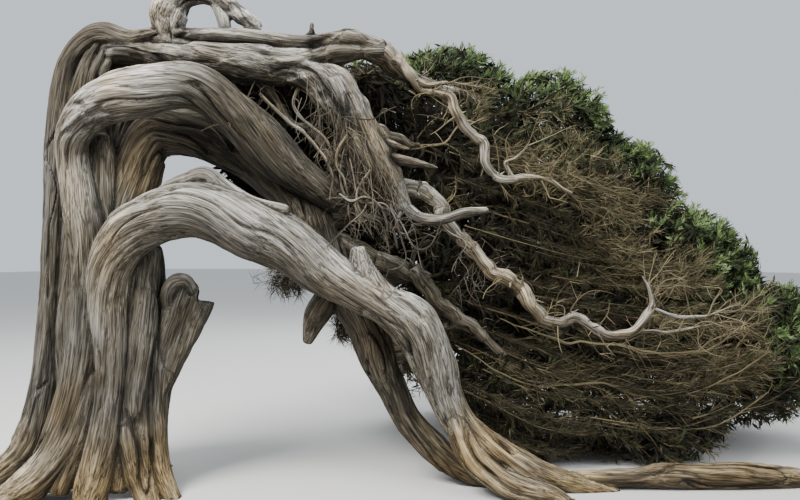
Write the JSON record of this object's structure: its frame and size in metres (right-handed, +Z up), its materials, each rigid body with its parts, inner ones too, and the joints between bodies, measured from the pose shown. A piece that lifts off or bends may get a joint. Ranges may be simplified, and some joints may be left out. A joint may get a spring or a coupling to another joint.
{
  "type": "wind-bent juniper tree",
  "caption": "Old wind-bent juniper with a twisted bare grey trunk, dead boughs that arch over and come back to the ground, and a dense brown and green crown that streams out to one side.",
  "frame": {"origin": "on the flat cut under the trunk at ground level, below the middle of the trunk", "axes": "+Z up, +X to leeward, the way the boughs and the crown stream, +Y from the bare near side back into the depth of the crown"},
  "size_m": [7.1344, 3.4526, 3.6654],
  "materials": {
    "bark": "weathered silver-grey wood, fibrous and cracked",
    "inner_wood": "brown shaded wood of the inner boughs",
    "foliage": "dull green and brown sprays of scale leaves",
    "dead_twigs": "dry brown dead twigs"
  },
  "bodies": {
    "root": {"trunk": "bark", "arch_rise": "bark", "arch_span": "bark", "arch_fall": "bark", "arch_foot": "bark", "middle_near": "bark", "middle_far": "bark", "back_stem_upper": "bark", "back_stem_lower": "bark", "under_bough": "bark", "upper_bough": "bark", "top_loop": "bark", "spur_bough": "bark", "spur_arm": "bark", "dead_limb_top_near": "bark", "dead_limb_top_far": "bark", "dead_limb_low_near": "bark", "dead_limb_low_far": "bark", "lying_limb": "bark", "hanging_stub": "bark", "crown_bough_top": "inner_wood", "crown_bough_top_far": "inner_wood", "crown_bough_top_back": "inner_wood", "crown_bough_near_back": "inner_wood", "crown_bough_front_top": "inner_wood", "crown_bough_shoulder": "inner_wood", "crown_bough_back_top": "inner_wood", "crown_bough_low": "inner_wood", "crown_bough_ground": "inner_wood", "crown_bough_middle": "inner_wood", "crown_bough_slope": "inner_wood", "crown_bough_toe": "inner_wood", "crown_bough_back_slope": "inner_wood", "crown_bough_back_toe": "inner_wood", "crown_bough_back_low": "inner_wood", "tangle_hanging": "dead_twigs", "tangle_spur": "dead_twigs", "tangle_inner": "dead_twigs", "foliage_top_near": "foliage", "foliage_top_far": "foliage", "foliage_top_back": "foliage", "foliage_near_back": "foliage", "foliage_shoulder": "foliage", "foliage_slope": "foliage", "foliage_tip": "foliage", "foliage_back_top": "foliage", "foliage_back_slope": "foliage", "foliage_back_toe": "foliage", "foliage_back_low": "foliage", "foliage_front_top": "foliage", "foliage_front_mid": "foliage", "foliage_front_slope": "foliage", "foliage_front_toe": "foliage", "dead_twigs_inner": "dead_twigs", "dead_twigs_middle": "dead_twigs", "dead_twigs_low": "dead_twigs", "dead_twigs_ground": "dead_twigs"}
  },
  "joints": []
}
